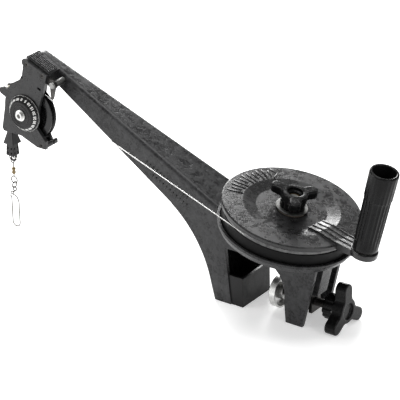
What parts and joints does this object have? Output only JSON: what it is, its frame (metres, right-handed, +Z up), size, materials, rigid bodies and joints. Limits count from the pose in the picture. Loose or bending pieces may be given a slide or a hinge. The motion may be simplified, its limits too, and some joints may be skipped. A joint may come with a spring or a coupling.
{
  "type": "manual downrigger",
  "caption": "Clamp-on manual downrigger: a short boom with a hand-cranked line spool, line counter and pulley, rail clamp and a hanging snap for a weight.",
  "frame": {"origin": "centre of the object's base, on the plane its two clamp legs stand on", "axes": "+X runs from the boom's tip with the pulley towards the clamp screw and crank, +Z up, and -Y is the side of the line counter's dial"},
  "size_m": [0.5038, 0.1504, 0.2271],
  "materials": {
    "body_plastic": "moulded charcoal, fine pebble",
    "spool_plastic": "moulded charcoal, satin",
    "jaw_plastic": "moulded black, satin",
    "blackened_steel": "black oxide, oiled",
    "housing_plastic": "moulded black, satin",
    "knob_plastic": "moulded black, glossy",
    "pulley_plastic": "moulded black, glossy",
    "dial_plastic": "black with white graduations",
    "gear_nylon": "natural nylon",
    "brake_lining": "pressed fibre",
    "boot_rubber": "soft moulded rubber",
    "zinc_steel": "zinc plated",
    "roller_steel": "turned, satin",
    "turned_brass": "turned, dulled",
    "line_wire": "stranded stainless wire",
    "tackle_wire": "bright nickel plate"
  },
  "bodies": {
    "frame": {"frame": "body_plastic", "fixed_jaw": "jaw_plastic", "nut_plate": "blackened_steel", "spindle_bolt": "zinc_steel", "thrust_washer": "gear_nylon", "counter_front_plate": "housing_plastic", "counter_back_plate": "housing_plastic", "counter_cap": "housing_plastic", "counter_screws": "blackened_steel", "counter_mount_bolt": "blackened_steel", "counter_lower_bar": "body_plastic", "keeper_post": "gear_nylon", "roller_bracket": "blackened_steel", "roller_pin": "zinc_steel", "line": "line_wire"},
    "spool": {"spool_flange": "spool_plastic", "spool_drum": "spool_plastic", "flange_screws": "zinc_steel", "spool_bushing": "turned_brass", "wound_line": "line_wire", "brake_washer": "brake_lining", "grip_washer": "zinc_steel", "grip_axle": "zinc_steel", "grip_nut": "zinc_steel"},
    "grip": {"grip": "knob_plastic", "grip_bushing": "turned_brass"},
    "brake_plate": {"pressure_washer": "zinc_steel"},
    "brake_knob": {"brake_knob": "knob_plastic", "brake_insert": "turned_brass"},
    "clamp_pad": {"clamp_pad": "zinc_steel"},
    "clamp_screw": {"clamp_screw": "blackened_steel", "clamp_knob": "knob_plastic", "clamp_insert": "turned_brass"},
    "pulley": {"pulley": "pulley_plastic", "pulley_shaft": "zinc_steel", "dial_screw": "zinc_steel"},
    "reduction_gear": {"reduction_gear": "gear_nylon"},
    "dial": {"dial": "dial_plastic"},
    "guide_roller": {"guide_roller": "roller_steel"},
    "boot": {"boot_cone": "boot_rubber", "line_crimp": "line_wire", "boot_block": "boot_rubber", "boot_pin": "zinc_steel"},
    "swivel_top": {"swivel_eye": "tackle_wire"},
    "swivel_body": {"swivel_barrel": "turned_brass"},
    "swivel_bottom": {"swivel_lower_eye": "tackle_wire"},
    "link": {"connecting_link": "tackle_wire"},
    "snap": {"snap_frame": "tackle_wire"},
    "snap_gate": {"snap_gate": "tackle_wire"}
  },
  "joints": [
    {"name": "spool_spin", "type": "hinge", "parent": "frame", "child": "spool", "pos_m": [0.11654, 0, 0.1222], "axis": [0.2267, 0, 0.974], "continuous": true},
    {"name": "grip_spin", "type": "hinge", "parent": "spool", "child": "grip", "pos_m": [0.21388, -0.01458, 0.09955], "axis": [0.2267, 0, 0.974], "continuous": true},
    {"name": "brake_travel", "type": "slide", "parent": "frame", "child": "brake_plate", "axis": [0.2267, 0, 0.974], "range_m": [0, 0.0016]},
    {"name": "brake_turn", "type": "hinge", "parent": "brake_plate", "child": "brake_knob", "pos_m": [0.11654, 0, 0.1222], "axis": [0.2267, 0, 0.974], "range_deg": [0, 360]},
    {"name": "clamp_travel", "type": "slide", "parent": "frame", "child": "clamp_pad", "axis": [1, 0, 0], "range_m": [-0.007, 0.015]},
    {"name": "clamp_turn", "type": "hinge", "parent": "clamp_pad", "child": "clamp_screw", "pos_m": [0.11654, 0, 0.0195], "axis": [1, 0, 0], "range_deg": [-1560, 3380]},
    {"name": "pulley_spin", "type": "hinge", "parent": "frame", "child": "pulley", "pos_m": [-0.21486, -0.024, 0.1602], "axis": [0, 1, 0], "continuous": true},
    {"name": "reduction_spin", "type": "hinge", "parent": "frame", "child": "reduction_gear", "pos_m": [-0.21486, -0.032, 0.1746], "axis": [0, 1, 0], "continuous": true},
    {"name": "dial_spin", "type": "hinge", "parent": "frame", "child": "dial", "pos_m": [-0.21486, -0.037, 0.1602], "axis": [0, 1, 0], "continuous": true},
    {"name": "roller_spin", "type": "hinge", "parent": "frame", "child": "guide_roller", "pos_m": [-0.17726, -0.018, 0.2005], "axis": [0, 1, 0], "continuous": true},
    {"name": "boot_swing", "type": "hinge", "parent": "frame", "child": "boot", "pos_m": [-0.24396, -0.024, 0.1295], "axis": [0, 1, 0], "range_deg": [-30, 30]},
    {"name": "eye_swing", "type": "hinge", "parent": "boot", "child": "swivel_top", "pos_m": [-0.24396, -0.024, 0.096], "axis": [1, 0, 0], "range_deg": [-25, 25]},
    {"name": "barrel_spin", "type": "hinge", "parent": "swivel_top", "child": "swivel_body", "pos_m": [-0.24396, -0.024, 0.08], "axis": [0, 0, 1], "continuous": true},
    {"name": "lower_eye_spin", "type": "hinge", "parent": "swivel_body", "child": "swivel_bottom", "pos_m": [-0.24396, -0.024, 0.08], "axis": [0, 0, 1], "continuous": true},
    {"name": "link_swing", "type": "hinge", "parent": "swivel_bottom", "child": "link", "pos_m": [-0.24396, -0.024, 0.0639], "axis": [1, 0, 0], "range_deg": [-30, 30]},
    {"name": "snap_swing", "type": "hinge", "parent": "link", "child": "snap", "pos_m": [-0.24396, -0.024, 0.0582], "axis": [0, 1, 0], "range_deg": [-30, 30]},
    {"name": "snap_gate_spring", "type": "hinge", "parent": "snap", "child": "snap_gate", "pos_m": [-0.24911, -0.024, 0.0216], "axis": [0, 1, 0], "range_deg": [0, 12], "stiffness_Nm_per_rad": 0.02}
  ],
  "couplings": [
    {"joint": "pulley_spin", "follows": "spool_spin", "ratio": 2.4433},
    {"joint": "reduction_spin", "follows": "spool_spin", "ratio": -0.81443},
    {"joint": "dial_spin", "follows": "spool_spin", "ratio": -0.16289},
    {"joint": "brake_travel", "follows": "brake_turn", "m_per_rad": 0.00025266},
    {"joint": "clamp_travel", "follows": "clamp_turn", "m_per_rad": 0.00025266}
  ]
}
